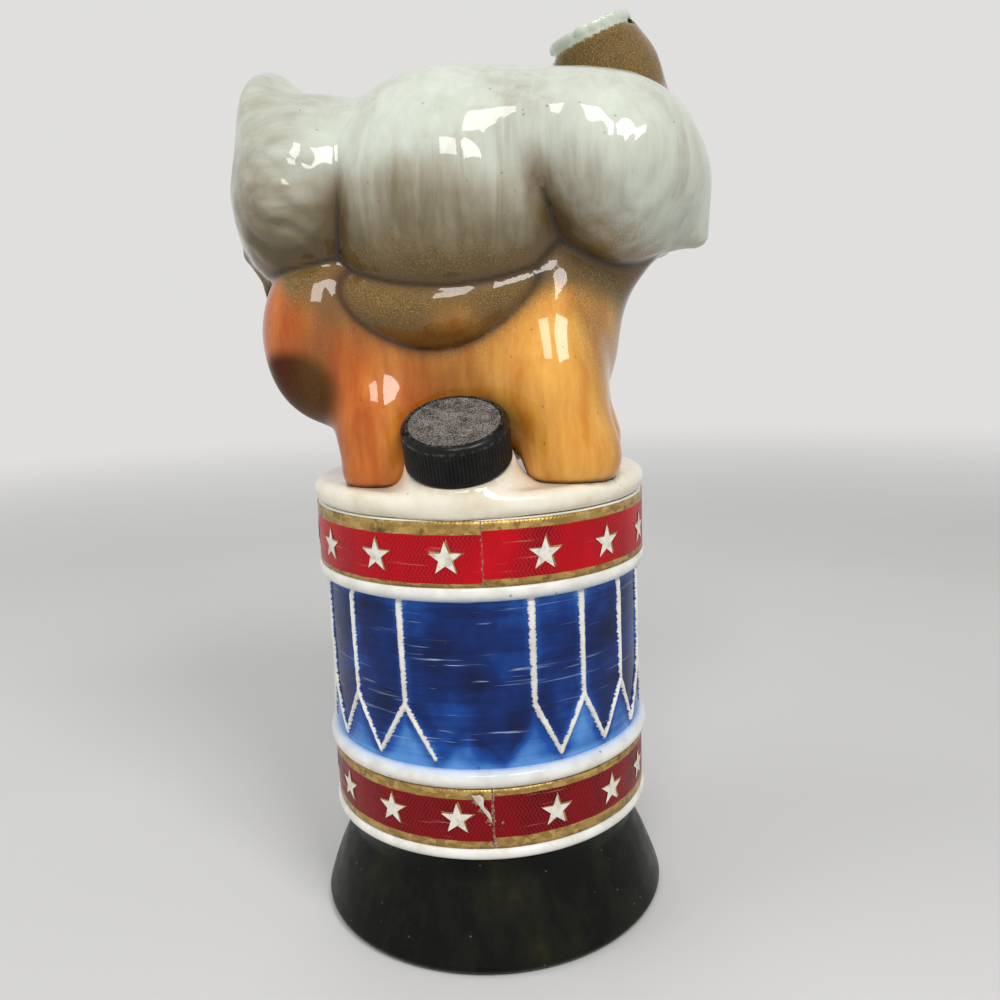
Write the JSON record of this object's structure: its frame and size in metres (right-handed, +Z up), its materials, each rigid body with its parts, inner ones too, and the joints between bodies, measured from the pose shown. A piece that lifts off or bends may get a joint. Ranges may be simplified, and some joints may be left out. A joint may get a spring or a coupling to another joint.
{
  "type": "figural liquor decanter",
  "caption": "Glazed ceramic decanter: a circus elephant standing on a rope-laced drum with foil star bands, and a slanted spout with a ribbed screw cap beside its feet.",
  "frame": {"origin": "centre of the base on the table plane, on the drum's axis", "axes": "+Z up along the drum's axis, spout on the -Y side, elephant's head end at +X"},
  "size_m": [0.145, 0.1131, 0.2849],
  "materials": {
    "base_glaze": "gloss",
    "drum_glaze": "gloss",
    "rim_glaze": "gloss",
    "figure_glaze": "gloss",
    "band_foil": "foil print",
    "sleeve_plastic": "satin",
    "cap_plastic": "gloss skirt, stippled top",
    "liner_board": "matte"
  },
  "bodies": {
    "decanter": {"base_foot": "base_glaze", "drum_barrel": "drum_glaze", "drum_head": "rim_glaze", "elephant_figure": "figure_glaze", "upper_star_band": "band_foil", "lower_star_band": "band_foil", "neck_sleeve": "sleeve_plastic"},
    "liner": {"cap_liner": "liner_board"},
    "cap": {"cap_shell": "cap_plastic"}
  },
  "joints": [
    {"name": "cap_rise", "type": "slide", "parent": "decanter", "child": "liner", "axis": [0, -0.4274, 0.9041], "range_m": [0, 0.01693]},
    {"name": "cap_turn", "type": "hinge", "parent": "liner", "child": "cap", "pos_m": [0, -0.0382, 0.1502], "axis": [0, -0.4274, 0.9041], "range_deg": [0, 1440]}
  ],
  "couplings": [
    {"joint": "cap_rise", "follows": "cap_turn", "m_per_rad": 0.00067322}
  ]
}
